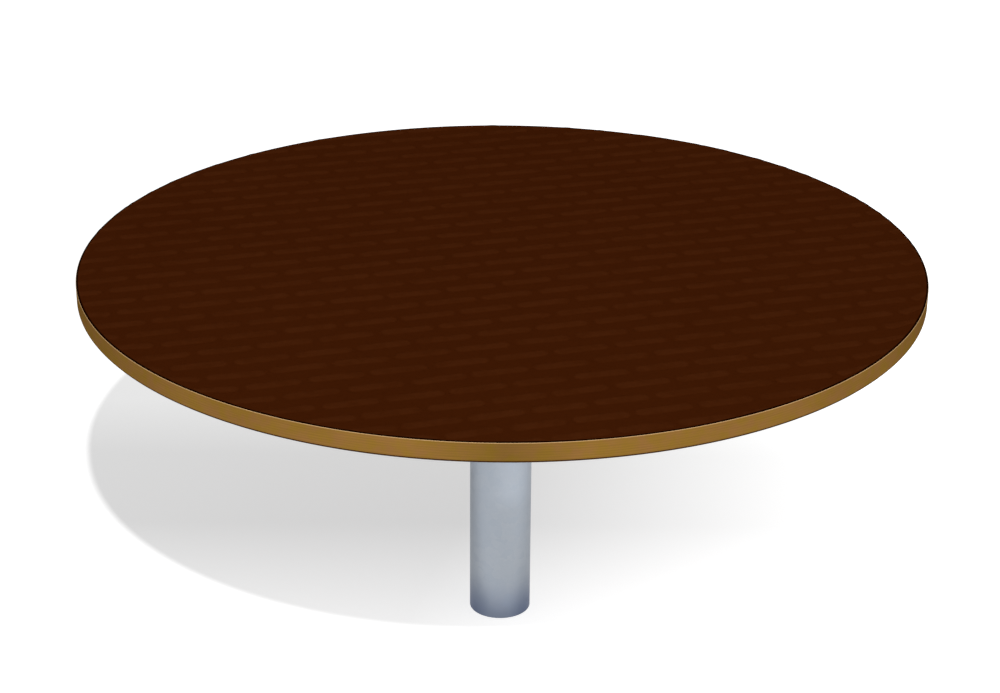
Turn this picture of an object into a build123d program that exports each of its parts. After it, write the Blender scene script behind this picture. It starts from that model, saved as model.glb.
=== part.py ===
from build123d import *
import os
from math import cos, radians, sin, sqrt

os.makedirs("parts", exist_ok=True)

# A round anti-slip board to stand on rocks on one steel post set in the ground.
# Two rubber torsion units lie crossed between them, so the board tips every way.
# Millimetres. The origin is the centre of the post's lower end, with +Z up.

# Post and its head plate
post_height = 240.0
post_radius = 38.05
post_wall = 4.0
plate_thickness = 10.0
plate_chamfer = 1.0
head_plate_radius = 75.0
vent_radius = 10.0

# Rubber torsion units
tilt_limit_degrees = 8.0
housing_side = 70.0
housing_wall = 4.0
housing_corner_radius = 6.0
housing_length = 110.0
core_side = 35.0
core_corner_radius = 1.5
rubber_clearance = 0.3
rubber_round = 7.0
rubber_recess = 1.5

# Ear plates that clamp the cores
unit_standoff = 46.0
ear_width = 60.0
ear_thickness = 10.0
ear_gap = 2.0

# Stop pads
stop_clearance = 0.3
stop_pad_width = 14.0
stop_pad_length = 70.0
stop_pad_round = 2.0

# Core bolts, washers and lock nuts, M16
core_bolt_radius = 8.0
core_bolt_length = 160.0
core_bolt_flats = 24.0
core_bolt_head = 10.0
core_washer_radius = 15.0
core_washer_thickness = 3.0
core_nut_height = 16.0
core_nut_collar = 4.0
core_nut_collar_radius = 11.0

# Hub plate and carrier arms
hub_radius = 110.0
arm_width = 60.0
arm_depth = 30.0
arm_wall = 3.0
arm_corner_radius = 5.0
arm_reach = 400.0
cap_thickness = 3.0
cap_plug_depth = 18.0
cap_plug_wall = 2.0
cap_clearance = 0.2
cap_chamfer = 1.0

# Board
board_radius = 500.0
board_thickness = 23.0
facing_thickness = 0.8
facing_chamfer = 0.4
edge_chamfer = 1.5

# Board inserts, bolts and washers, M10
insert_radius = 8.0
insert_length = 18.0
insert_clearance = 0.05
board_bolt_radius = 5.0
board_bolt_length = 50.0
board_bolt_flats = 16.0
board_bolt_head = 6.4
board_washer_radius = 10.0
board_washer_thickness = 2.0
bolt_hub_margin = 40.0
bolt_end_margin = 50.0

# Clearances of bolts in plain holes and in threads
bolt_clearance = 0.5
thread_clearance = 0.1

# Heights and places that follow
head_plate_top = post_height + plate_thickness
lower_axis_height = head_plate_top + unit_standoff
upper_axis_height = lower_axis_height + housing_side
hub_underside = upper_axis_height + unit_standoff
arm_underside = hub_underside + plate_thickness
board_underside = arm_underside + arm_depth
board_top = board_underside + board_thickness
arm_axis_height = arm_underside + arm_depth / 2
core_bottom = board_underside + facing_thickness
core_top = board_top - facing_thickness
ear_inner = housing_length / 2 + ear_gap
ear_outer = ear_inner + ear_thickness

# The housing's corner turns past its lowest place at the tilt limit
tilt_sine = sin(radians(tilt_limit_degrees))
tilt_cosine = cos(radians(tilt_limit_degrees))
corner_centre = housing_side / 2 - housing_corner_radius
corner_reach = corner_centre * (tilt_cosine + tilt_sine) + housing_corner_radius
corner_offset = corner_centre * (tilt_cosine - tilt_sine)
stop_pad_thickness = unit_standoff - corner_reach - stop_clearance

# Each unit is drawn in its own plane, with local y up and the normal along its axis
lower_unit = Plane((0, 0, lower_axis_height), x_dir=(0, 1, 0), z_dir=(1, 0, 0))
upper_unit = Plane((0, 0, upper_axis_height), x_dir=(-1, 0, 0), z_dir=(0, 1, 0))

# The lower unit's ears and pads stand below its axis, and the upper unit's hang above it
below = -1
above = 1


def save(piece, name):
    """Name a finished piece and write it."""
    piece.part.label = name
    export_step(piece.part, f"parts/{name}.step")


# Post: a plain cut tube, set in the ground at its lower end

with BuildPart() as post_tube:
    with BuildSketch(Plane.XY):
        Circle(post_radius)
        Circle(post_radius - post_wall, mode=Mode.SUBTRACT)
    extrude(amount=post_height)
save(post_tube, "post_tube")

# Head plate: a disc welded on the post, vented for the zinc bath

with BuildPart() as head_plate:
    with BuildSketch(Plane.XY.offset(post_height)):
        Circle(head_plate_radius)
        Circle(vent_radius, mode=Mode.SUBTRACT)
    extrude(amount=plate_thickness)
    rims = head_plate.edges().filter_by(GeomType.CIRCLE).group_by(SortBy.RADIUS)[-1]
    chamfer(rims, length=plate_chamfer)
save(head_plate, "head_plate")

# Torsion units: a square bar turned by 45 degrees in a square tube, on four rubber cords


def torsion_housing(unit, name):
    """The outer square tube of a unit."""
    housing_bore = housing_side - 2 * housing_wall
    with BuildPart() as housing:
        with BuildSketch(unit):
            RectangleRounded(housing_side, housing_side, housing_corner_radius)
            RectangleRounded(
                housing_bore,
                housing_bore,
                housing_corner_radius - housing_wall,
                mode=Mode.SUBTRACT,
            )
        extrude(amount=housing_length / 2, both=True)
    save(housing, name)


def torsion_core(unit, name):
    """The inner square bar, bored for its bolt and clamped between the ears."""
    with BuildPart() as core:
        with BuildSketch(unit):
            RectangleRounded(core_side, core_side, core_corner_radius, rotation=45)
            Circle(core_bolt_radius + bolt_clearance, mode=Mode.SUBTRACT)
        extrude(amount=ear_inner, both=True)
    save(core, name)


def rubber_cords(unit, name):
    """Four cords, each pressed to a rounded triangle between a corner and a flat."""
    wall = housing_side / 2 - housing_wall - rubber_clearance
    flat = (core_side / 2 + rubber_clearance) * sqrt(2)
    with BuildPart() as cords:
        with BuildSketch(unit):
            for quarter in range(4):
                with BuildLine(Plane.XY.rotated((0, 0, 90 * quarter))):
                    FilletPolyline(
                        (wall, wall),
                        (flat - wall, wall),
                        (wall, flat - wall),
                        radius=rubber_round,
                        close=True,
                    )
                make_face()
        extrude(amount=housing_length / 2 - rubber_recess, both=True)
    save(cords, name)


def ear(unit, side, toward, name):
    """A plate with a round end that clamps one end of a core, welded at its foot."""
    start = ear_inner if side > 0 else -ear_outer
    foot = Align.MAX if toward == below else Align.MIN
    with BuildPart() as plate:
        with BuildSketch(unit.offset(start)):
            Rectangle(ear_width, unit_standoff, align=(Align.CENTER, foot))
            Circle(ear_width / 2)
            Circle(core_bolt_radius + bolt_clearance, mode=Mode.SUBTRACT)
        extrude(amount=ear_thickness)
    save(plate, name)


def core_bolt(unit, name):
    """A hexagon bolt through both ears and the core, its head on the near washer."""
    head_seat = -(ear_outer + core_washer_thickness)
    with BuildPart() as bolt:
        with BuildSketch(unit.offset(head_seat)):
            RegularPolygon(core_bolt_flats / 2, side_count=6, major_radius=False)
        extrude(amount=-core_bolt_head)
        with BuildSketch(unit.offset(head_seat)):
            Circle(core_bolt_radius)
        extrude(amount=core_bolt_length)
    save(bolt, name)


def core_washers(unit, name):
    """One washer outside each ear."""
    with BuildPart() as washers:
        for start in (-ear_outer - core_washer_thickness, ear_outer):
            with BuildSketch(unit.offset(start)):
                Circle(core_washer_radius)
                Circle(core_bolt_radius + bolt_clearance, mode=Mode.SUBTRACT)
            extrude(amount=core_washer_thickness)
    save(washers, name)


def core_nut(unit, name):
    """A lock nut: a hexagon with a round collar that holds its locking ring."""
    nut_seat = ear_outer + core_washer_thickness
    with BuildPart() as nut:
        with BuildSketch(unit.offset(nut_seat)):
            RegularPolygon(core_bolt_flats / 2, side_count=6, major_radius=False)
        extrude(amount=core_nut_height - core_nut_collar)
        with BuildSketch(unit.offset(nut_seat)):
            Circle(core_nut_collar_radius)
        extrude(amount=core_nut_height)
        with BuildSketch(unit.offset(nut_seat)):
            Circle(core_bolt_radius + thread_clearance)
        extrude(amount=core_nut_height, mode=Mode.SUBTRACT)
    save(nut, name)


def stop_pads(unit, toward, name):
    """Two rubber strips bonded on a plate, which the housing's corners meet at the limit."""
    bond = toward * unit_standoff
    face = bond - toward * stop_pad_thickness
    with BuildPart() as pads:
        with BuildSketch(unit):
            with Locations((-corner_offset, (bond + face) / 2), (corner_offset, (bond + face) / 2)):
                Rectangle(stop_pad_width, stop_pad_thickness)
        extrude(amount=stop_pad_length / 2, both=True)
        lengthwise = pads.edges().filter_by(Axis((0, 0, 0), unit.z_dir))
        inner_edges = lengthwise.group_by(Axis.Z)[-1 if toward == below else 0]
        fillet(inner_edges, radius=stop_pad_round)
    save(pads, name)


unit_sets = (
    (lower_unit, below, "lower", "left", "right"),
    (upper_unit, above, "upper", "front", "rear"),
)
for unit, toward, level, near, far in unit_sets:
    torsion_housing(unit, f"{level}_housing")
    torsion_core(unit, f"{level}_core")
    rubber_cords(unit, f"{level}_rubber_cords")
    ear(unit, -1, toward, f"{level}_ear_{near}")
    ear(unit, 1, toward, f"{level}_ear_{far}")
    core_bolt(unit, f"{level}_core_bolt")
    core_washers(unit, f"{level}_core_washers")
    core_nut(unit, f"{level}_core_nut")
    stop_pads(unit, toward, f"{level}_stop_pads")

# Hub plate: a disc that carries the upper ears below and the arms above

with BuildPart() as hub_plate:
    with BuildSketch(Plane.XY.offset(hub_underside)):
        Circle(hub_radius)
    extrude(amount=plate_thickness)
    rims = hub_plate.edges().filter_by(GeomType.CIRCLE)
    chamfer(rims, length=plate_chamfer)
save(hub_plate, "hub_plate")

# Carrier arms: one rectangular tube goes right through and two butt against it


def arm(plane, length, name):
    """A rectangular tube from the plane along its normal, drilled for the board bolts."""
    with BuildPart() as tube:
        with BuildSketch(plane):
            RectangleRounded(arm_width, arm_depth, arm_corner_radius)
            RectangleRounded(
                arm_width - 2 * arm_wall,
                arm_depth - 2 * arm_wall,
                arm_corner_radius - arm_wall,
                mode=Mode.SUBTRACT,
            )
        extrude(amount=length)
        with BuildSketch(Plane.XY.offset(arm_underside)):
            with Locations(*bolt_places):
                Circle(board_bolt_radius + bolt_clearance)
        extrude(amount=arm_depth, mode=Mode.SUBTRACT)
    save(tube, name)


bolt_places = [
    (reach * cos(radians(turn)), reach * sin(radians(turn)))
    for turn in (0, 90, 180, 270)
    for reach in (hub_radius + bolt_hub_margin, arm_reach - bolt_end_margin)
]
arm_centre = Plane.XY.offset(arm_axis_height)
through_plane = Plane(arm_centre.origin, x_dir=(0, 1, 0), z_dir=(1, 0, 0))
front_plane = Plane(arm_centre.origin, x_dir=(1, 0, 0), z_dir=(0, -1, 0))
rear_plane = Plane(arm_centre.origin, x_dir=(-1, 0, 0), z_dir=(0, 1, 0))
arm(through_plane.offset(-arm_reach), 2 * arm_reach, "through_arm")
arm(front_plane.offset(arm_width / 2), arm_reach - arm_width / 2, "front_arm")
arm(rear_plane.offset(arm_width / 2), arm_reach - arm_width / 2, "rear_arm")

# End caps: plastic, with a chamfered face and a hollow plug pushed into each arm

plug_width = arm_width - 2 * (arm_wall + cap_clearance)
plug_depth = arm_depth - 2 * (arm_wall + cap_clearance)
plug_corner_radius = arm_corner_radius - arm_wall - cap_clearance
with BuildPart() as arm_end_caps:
    for turn in (0, 90, 180, 270):
        outward = (cos(radians(turn)), sin(radians(turn)), 0)
        sideways = (-sin(radians(turn)), cos(radians(turn)), 0)
        end = Plane(arm_centre.origin, x_dir=sideways, z_dir=outward).offset(arm_reach)
        with BuildSketch(end):
            RectangleRounded(arm_width, arm_depth, arm_corner_radius)
        extrude(amount=cap_thickness)
        face = arm_end_caps.faces().sort_by(Axis(end.origin, end.z_dir))[-1]
        chamfer(face.edges(), length=cap_chamfer)
        with BuildSketch(end):
            RectangleRounded(plug_width, plug_depth, plug_corner_radius)
            Rectangle(plug_width - 2 * cap_plug_wall, plug_depth - 2 * cap_plug_wall, mode=Mode.SUBTRACT)
        extrude(amount=-cap_plug_depth)
save(arm_end_caps, "arm_end_caps")

# Board: a plywood core with broken edges, between a film on the top and one below

with BuildPart() as board_core:
    with BuildSketch(Plane.XY.offset(core_bottom)):
        Circle(board_radius)
    extrude(amount=core_top - core_bottom)
    chamfer(board_core.edges().filter_by(GeomType.CIRCLE), length=edge_chamfer)
    with BuildSketch(Plane.XY.offset(core_bottom)):
        with Locations(*bolt_places):
            Circle(insert_radius + insert_clearance)
    extrude(amount=insert_length + insert_clearance, mode=Mode.SUBTRACT)
save(board_core, "board_core")

facing_radius = board_radius - edge_chamfer
with BuildPart() as anti_slip_facing:
    with BuildSketch(Plane.XY.offset(core_top)):
        Circle(facing_radius)
    extrude(amount=facing_thickness)
    chamfer(anti_slip_facing.edges().group_by(Axis.Z)[-1], length=facing_chamfer)
save(anti_slip_facing, "anti_slip_facing")

with BuildPart() as underside_facing:
    with BuildSketch(Plane.XY.offset(board_underside)):
        Circle(facing_radius)
        with Locations(*bolt_places):
            Circle(insert_radius + bolt_clearance, mode=Mode.SUBTRACT)
    extrude(amount=facing_thickness)
save(underside_facing, "underside_facing")

# Board fixing: eight blind inserts, each with a bolt through its arm and a washer

with BuildPart() as board_inserts:
    with BuildSketch(Plane.XY.offset(core_bottom)):
        with Locations(*bolt_places):
            Circle(insert_radius)
            Circle(board_bolt_radius + thread_clearance, mode=Mode.SUBTRACT)
    extrude(amount=insert_length)
save(board_inserts, "board_inserts")

washer_bottom = arm_underside - board_washer_thickness
with BuildPart() as board_washers:
    with BuildSketch(Plane.XY.offset(washer_bottom)):
        with Locations(*bolt_places):
            Circle(board_washer_radius)
            Circle(board_bolt_radius + bolt_clearance, mode=Mode.SUBTRACT)
    extrude(amount=board_washer_thickness)
save(board_washers, "board_washers")

with BuildPart() as board_bolts:
    with BuildSketch(Plane.XY.offset(washer_bottom)):
        with Locations(*bolt_places):
            RegularPolygon(board_bolt_flats / 2, side_count=6, major_radius=False)
    extrude(amount=-board_bolt_head)
    with BuildSketch(Plane.XY.offset(washer_bottom)):
        with Locations(*bolt_places):
            Circle(board_bolt_radius)
    extrude(amount=board_bolt_length)
save(board_bolts, "board_bolts")
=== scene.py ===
import math
import random

import bmesh
import bpy
from mathutils import Matrix, Vector


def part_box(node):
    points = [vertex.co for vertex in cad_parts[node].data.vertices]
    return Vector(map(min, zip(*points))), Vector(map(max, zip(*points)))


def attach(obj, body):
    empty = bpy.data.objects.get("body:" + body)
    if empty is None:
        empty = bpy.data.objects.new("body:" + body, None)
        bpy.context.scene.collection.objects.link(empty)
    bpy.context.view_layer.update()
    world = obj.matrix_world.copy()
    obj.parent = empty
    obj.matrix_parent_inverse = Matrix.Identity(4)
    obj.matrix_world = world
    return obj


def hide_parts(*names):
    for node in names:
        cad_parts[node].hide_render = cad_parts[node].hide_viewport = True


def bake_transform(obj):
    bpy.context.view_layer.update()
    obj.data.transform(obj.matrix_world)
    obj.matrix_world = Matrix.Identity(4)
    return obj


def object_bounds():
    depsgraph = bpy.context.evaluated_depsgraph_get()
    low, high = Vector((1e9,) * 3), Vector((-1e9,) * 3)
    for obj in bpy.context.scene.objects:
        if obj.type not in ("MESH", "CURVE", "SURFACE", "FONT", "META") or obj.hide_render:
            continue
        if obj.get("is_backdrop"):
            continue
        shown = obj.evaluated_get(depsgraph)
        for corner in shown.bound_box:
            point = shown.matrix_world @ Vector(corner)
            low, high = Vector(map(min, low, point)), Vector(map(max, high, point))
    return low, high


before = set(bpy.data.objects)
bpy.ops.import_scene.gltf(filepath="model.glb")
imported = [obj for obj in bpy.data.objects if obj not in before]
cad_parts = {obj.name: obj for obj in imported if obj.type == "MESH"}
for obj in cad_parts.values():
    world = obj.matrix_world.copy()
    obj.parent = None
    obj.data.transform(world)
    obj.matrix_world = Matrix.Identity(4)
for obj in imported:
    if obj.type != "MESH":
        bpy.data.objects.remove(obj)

cad_low, cad_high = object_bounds()

# The viewpoint: a long lens in front of the board, looking down at about 24 degrees and leaning a hair to
# the left. The picture is 1000 by 693, so the 36 mm sensor width spans its 1000 pixels.
look_down = 0.4157
lean = 0.0071
viewpoint = Vector((-0.0020, -2.4568, 1.4420))
to_right = Vector((1, 0, 0))
to_top = Vector((0, math.sin(look_down), math.cos(look_down)))
to_viewer = Vector((0, -math.cos(look_down), math.sin(look_down)))
picture_right = math.cos(lean) * to_right + math.sin(lean) * to_top
picture_top = math.cos(lean) * to_top - math.sin(lean) * to_right
lens = bpy.data.cameras.new("front_view")
lens.lens = 79.85
lens.sensor_width = 36.0
camera = bpy.data.objects.new("front_view", lens)
bpy.context.scene.collection.objects.link(camera)
turned = Matrix((picture_right, picture_top, to_viewer)).transposed().to_4x4()
camera.matrix_world = Matrix.Translation(viewpoint) @ turned
bpy.context.scene.camera = camera
bpy.context.scene.view_settings.view_transform = "Standard"

# The studio floor: a matt white sheet laid flat under the post's cut end. Seen directly or mirrored in the
# metal it is white where it is lit; the board's shadow stays on it, and a painted glow thins it out to the
# right and towards the viewer.


def linear(code):
    """An sRGB hex colour as the linear colour that a shader takes."""
    parts = [int(code[i:i + 2], 16) / 255 for i in (0, 2, 4)]
    return [p / 12.92 if p <= 0.04045 else ((p + 0.055) / 1.055) ** 2.4 for p in parts] + [1.0]


def feed(node, inputs):
    """Sets inputs by name or number: to a value, a hex colour, a socket or a node, for its output in use."""
    for name, value in inputs.items():
        if isinstance(value, bpy.types.Node):
            value = next(output for output in value.outputs if output.enabled)
        if isinstance(value, bpy.types.NodeSocket):
            node.id_data.links.new(value, node.inputs[name])
        else:
            node.inputs[name].default_value = linear(value) if isinstance(value, str) else value


def add(tree, kind, inputs, **settings):
    """Adds a shader node. A Mix node mixes colours: its factor is input 0, and the two are inputs 6 and 7."""
    made = tree.nodes.new("ShaderNode" + kind)
    if kind == "Mix":
        made.data_type = "RGBA"
    for name, value in settings.items():
        setattr(made, name, value)
    feed(made, inputs)
    return made


def seen_straight(tree, rays):
    """1 for what the camera sees, also in a mirror or through glass, and 0 for the light thrown about."""
    mirrored = add(tree, "Math", {0: rays["Is Camera Ray"], 1: rays["Is Glossy Ray"]}, operation="MAXIMUM")
    return add(tree, "Math", {0: mirrored, 1: rays["Is Transmission Ray"]}, operation="MAXIMUM")


def deselect():
    """Leaves edit mode and deselects every object."""
    if bpy.context.object and bpy.context.object.mode == "EDIT":
        bpy.ops.object.mode_set(mode="OBJECT")
    bpy.ops.object.select_all(action="DESELECT")


sheet_size, sheet_behind = 16, 2
deselect()
bpy.ops.mesh.primitive_plane_add(size=sheet_size, location=(0, sheet_behind, 0))
floor = bpy.context.object
floor.name = "studio_floor"
bpy.ops.object.transform_apply(location=True, rotation=True, scale=True)
white_sheet = bpy.data.materials.new("matt_white_sheet")
white_sheet.use_nodes = True
tree = white_sheet.node_tree
tree.nodes.clear()
place = add(tree, "TexCoord", {}).outputs["Object"]
axes = add(tree, "SeparateXYZ", {"Vector": place}).outputs

# The painted glow that thins the shadow grows to the right of a slanting line, to the front and to the
# back, and far off it makes up for the weaker light.
glow_at_rest = 0.545
aslant = add(tree, "Math", {0: axes["Y"], 1: -0.23, 2: axes["X"]}, operation="MULTIPLY_ADD")
to_the_right = add(tree, "MapRange",
                   {"Value": aslant, "From Min": -0.106, "From Max": 0.35, "To Max": 0.347})
to_the_front = add(tree, "MapRange",
                   {"Value": axes["Y"], "From Min": 0.21, "From Max": -0.12, "To Max": 0.29})
to_the_back = add(tree, "MapRange", {"Value": axes["Y"], "From Min": 0.42, "From Max": 0.60, "To Max": 0.10})
painted_light_in_shadow = add(tree, "Math", {0: to_the_right, 1: to_the_front}, operation="ADD")
painted_light_in_shadow = add(tree, "Math", {0: painted_light_in_shadow, 1: to_the_back}, operation="ADD")
far_off = add(tree, "VectorMath", {0: place}, operation="LENGTH")
far_glow = add(tree, "MapRange",
               {"Value": far_off, "From Min": 1.3, "From Max": 2.2, "To Max": 0.40},
               interpolation_type="SMOOTHSTEP")
extra = add(tree, "Math", {0: painted_light_in_shadow, 1: far_glow}, operation="MAXIMUM")
glow = add(tree, "Math", {0: extra, 1: glow_at_rest}, operation="ADD")
rays = add(tree, "LightPath", {}).outputs
seen = seen_straight(tree, rays)
lit = add(tree, "BsdfDiffuse", {"Color": "c3c3c3"})
glowing = add(tree, "Emission", {"Color": (1, 1, 1, 1), "Strength": glow})
shown = add(tree, "AddShader", {0: lit, 1: glowing})
plain = add(tree, "BsdfDiffuse", {"Color": "d6d6d6"})
surface = add(tree, "MixShader", {0: seen, 1: plain, 2: shown})
underneath = add(tree, "NewGeometry", {}).outputs["Backfacing"]
from_below = add(tree, "Math", {0: underneath, 1: rays["Is Camera Ray"]}, operation="MULTIPLY")
clear = add(tree, "BsdfTransparent", {})
surface = add(tree, "MixShader", {0: from_below, 1: surface, 2: clear})
add(tree, "OutputMaterial", {"Surface": surface})
floor.data.materials.append(white_sheet)
floor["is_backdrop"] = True

# The studio light: one soft lamp in front and above, whose place throws the board's shadow back and to the
# left, and a pale room around it. Its light keeps its level with distance, so that the far rim isn't dimmer.
lamp_place = Vector((0.18, -3.33, 3.40))
lamp_aim = Vector((0, 0, 0.45))
lamp_data = bpy.data.lights.new("key_lamp", "AREA")
lamp_data.shape = "DISK"
lamp_data.size = 0.08
lamp_data.energy = 9.6
lamp_data.use_nodes = True
tree = lamp_data.node_tree
even = add(tree, "LightFalloff", {"Strength": 1.0}).outputs["Constant"]
feed(tree.nodes["Emission"], {"Strength": even})
lamp = bpy.data.objects.new("key_lamp", lamp_data)
lamp.location = lamp_place
lamp.rotation_euler = (lamp_aim - lamp_place).to_track_quat("-Z", "Y").to_euler()
bpy.context.scene.collection.objects.link(lamp)
room = bpy.data.worlds.new("pale_room")
bpy.context.scene.world = room
room.use_nodes = True
tree = room.node_tree
tree.nodes.clear()
rays = add(tree, "LightPath", {}).outputs
seen = seen_straight(tree, rays)
level = add(tree, "MapRange", {"Value": seen, "To Min": 0.30})
air = add(tree, "Background", {"Color": (1, 1, 1, 1), "Strength": level})
add(tree, "OutputWorld", {"Surface": air})

# The board's core: 15 birch plies of about 1.4 mm glued crosswise into a 21.4 mm panel, routed to a round
# disc. Its edge is rounded over at top and bottom, sanded, and brushed with an ochre sealer.
inside_solid = 0.00002
board_radius = min(-cad_low.x, cad_high.x, -cad_low.y, cad_high.y) - inside_solid
core_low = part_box("board_core")[0].z
core_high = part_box("board_core")[1].z
ply_pitch = 0.0014
rim_corners = 288
top_round, bottom_round = 0.0006, 0.0015
same_height = 1e-5


def begin(name):
    """Names the primitive just added and puts its place into its mesh."""
    piece = bpy.context.object
    piece.name = name
    piece.data.name = name
    bpy.ops.object.transform_apply(location=True, rotation=True, scale=True)
    return piece


def disc(name, radius, low, high, corners):
    """An upright round blank between two heights."""
    deselect()
    bpy.ops.mesh.primitive_cylinder_add(vertices=corners, radius=radius, depth=high - low,
                                        location=(0, 0, (low + high) / 2))
    return begin(name)


def choose(piece):
    """Selects one piece alone and makes it the active one."""
    deselect()
    piece.select_set(True)
    bpy.context.view_layer.objects.active = piece


def shape(piece):
    """Opens one piece for editing, with nothing else selected."""
    choose(piece)
    bpy.ops.object.mode_set(mode="EDIT")


def pick(piece, kind, test):
    """Opens a piece and selects only its corners, edges or faces (VERT, EDGE, FACE) that pass the test."""
    shape(piece)
    bpy.ops.mesh.select_mode(type=kind)
    bpy.ops.mesh.select_all(action="DESELECT")
    mesh = bmesh.from_edit_mesh(piece.data)
    items = {"VERT": mesh.verts, "EDGE": mesh.edges, "FACE": mesh.faces}[kind]
    for item in items:
        if test(item):
            item.select_set(True)
    mesh.select_flush_mode()
    bmesh.update_edit_mesh(piece.data)


def round_off(piece, kind, test, width, segments):
    """Rounds the edges, or the rims of the faces, that pass the test: one segment is a chamfer."""
    pick(piece, kind, test)
    bpy.ops.mesh.bevel(offset=width, segments=segments)
    deselect()


def at_height(z):
    """A test for edges that lie at one height."""
    return lambda edge: all(abs(v.co.z - z) < same_height for v in edge.verts)


def dress(piece, material, turn=32):
    """Shades a finished piece smooth up to an angle and gives it its material."""
    choose(piece)
    bpy.ops.object.shade_smooth_by_angle(angle=math.radians(turn))
    even = piece.modifiers.new("even", "WEIGHTED_NORMAL")
    even.keep_sharp = True
    bpy.ops.object.modifier_apply(modifier=even.name)
    piece.data.materials.clear()
    piece.data.materials.append(material)


def new_finish(name, colour, roughness, metallic=0.0):
    """A new material with its shader, its tree and the object's own coordinates."""
    material = bpy.data.materials.new(name)
    material.use_nodes = True
    tree = material.node_tree
    shader = tree.nodes["Principled BSDF"]
    feed(shader, {"Base Color": colour, "Roughness": roughness, "Metallic": metallic})
    return material, tree, shader, add(tree, "TexCoord", {}).outputs["Object"]


core = disc("birch_ply_core", board_radius, core_low, core_high, rim_corners)
round_off(core, "EDGE", at_height(core_high), top_round, 3)
round_off(core, "EDGE", at_height(core_low), bottom_round, 4)

# Sealed birch ply edge: dull ochre, a little darker in the end grain of every second ply, with fine streaks
# along the plies, a paler line on the top edge, partly thin sealer on sanded wood and partly a painted
# highlight, and a brown one where it ran and pooled. At the front, over a hand's width, painted shade
# darkens the edge. The counts are to the metre: plies that waver every 110 mm, streaks 33 mm long and
# 0.4 mm high, clouds of 70 mm and blotches of 13 mm.
wave_count, along_count, across_count, cloud_count, blotch_count = 9.0, 30, 2600, 14.0, 75.0
ply_waver = 0.0004
front_shade_middle, front_shade_reach = 0.003, 0.088
sealed_ply, tree, shader, place = new_finish("ochre_sealed_birch_ply_edge", "8c652c", 0.5)
feed(shader, {"Specular IOR Level": 0.0})
axes = add(tree, "SeparateXYZ", {"Vector": place}).outputs
waver = add(tree, "TexNoise", {"Vector": place, "Scale": wave_count, "Detail": 2.0})
waver = add(tree, "Math", {0: waver, 1: ply_waver}, operation="MULTIPLY")
ply_height = add(tree, "Math", {0: axes["Z"], 1: waver}, operation="ADD")
ply_turn = add(tree, "Math", {0: ply_height, 1: math.pi / ply_pitch}, operation="MULTIPLY")
ply_wave = add(tree, "Math", {0: ply_turn}, operation="SINE")
ply_mask = add(tree, "MapRange", {"Value": ply_wave, "From Min": -0.35, "From Max": 0.35})
long_grain = add(tree, "Mapping", {"Vector": place, "Scale": (along_count, along_count, across_count)})
streak = add(tree, "TexNoise", {"Vector": long_grain, "Scale": 1.0, "Detail": 4.0})
cloud = add(tree, "TexNoise", {"Vector": place, "Scale": cloud_count, "Detail": 3.0})
streak_mask = add(tree, "MapRange", {"Value": streak, "From Min": 0.3, "From Max": 0.7})
plies = add(tree, "Mix", {0: ply_mask, 6: "87622b", 7: "93692f"})
grain = add(tree, "Mix", {0: streak_mask, 6: "825c28", 7: "9a6f33"})
both = add(tree, "Mix", {0: 0.5, 6: plies, 7: grain})
blotch = add(tree, "MapRange", {"Value": cloud, "From Min": 0.35, "From Max": 0.7, "To Max": 0.22})
mottled = add(tree, "Mix", {0: blotch, 6: both, 7: "745022"})
drift = add(tree, "TexNoise", {"Vector": place, "Scale": blotch_count, "Detail": 2.0})
drift = add(tree, "MapRange", {"Value": drift, "From Min": 0.36, "From Max": 0.64})
tint = add(tree, "Mix", {0: drift, 6: (1.0, 1.11, 0.92, 1), 7: (1.04, 1.05, 1.42, 1)})
mottled = add(tree, "VectorMath", {0: mottled, 1: tint}, operation="MULTIPLY")
# Painted shade: over a hand's width at the front, the edge is darker.
aside = add(tree, "Math", {0: axes["X"], 1: front_shade_middle}, operation="SUBTRACT")
aside = add(tree, "Math", {0: aside}, operation="ABSOLUTE")
painted_front_shade = add(tree, "MapRange", {"Value": aside, "From Min": front_shade_reach, "From Max": 0.0})
in_front = add(tree, "Math", {0: axes["Y"], 1: 0.0}, operation="LESS_THAN")
painted_front_shade = add(tree, "Math", {0: painted_front_shade, 1: in_front}, operation="MULTIPLY")
front_shade_tint = add(tree, "Mix", {0: painted_front_shade, 6: (1, 1, 1, 1), 7: (0.72, 0.74, 0.66, 1)})
mottled = add(tree, "VectorMath", {0: mottled, 1: front_shade_tint}, operation="MULTIPLY")
# The top line is paler: partly thin sealer on the sanded edge, partly a painted highlight.
sanded_and_highlit = add(tree, "MapRange",
             {"Value": axes["Z"], "From Min": core_high - 0.0007, "From Max": core_high - 0.0003})
thin_coat_and_highlight = add(tree, "Mix", {0: sanded_and_highlit, 6: mottled, 7: "ba976c"})
pooled = add(tree, "MapRange",
             {"Value": axes["Z"], "From Min": core_low + 0.0021, "From Max": core_low + 0.0012})
sealed = add(tree, "Mix", {0: pooled, 6: thin_coat_and_highlight, 7: "3f230c"})
satin = add(tree, "MapRange", {"Value": streak, "To Min": 0.42, "To Max": 0.60})
raised = add(tree, "Bump", {"Height": streak, "Strength": 0.25, "Distance": 0.0003})
feed(shader, {"Base Color": sealed, "Roughness": satin, "Normal": raised})
dress(core, sealed_ply, 60)
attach(core, "platform")
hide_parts("board_core")

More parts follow.
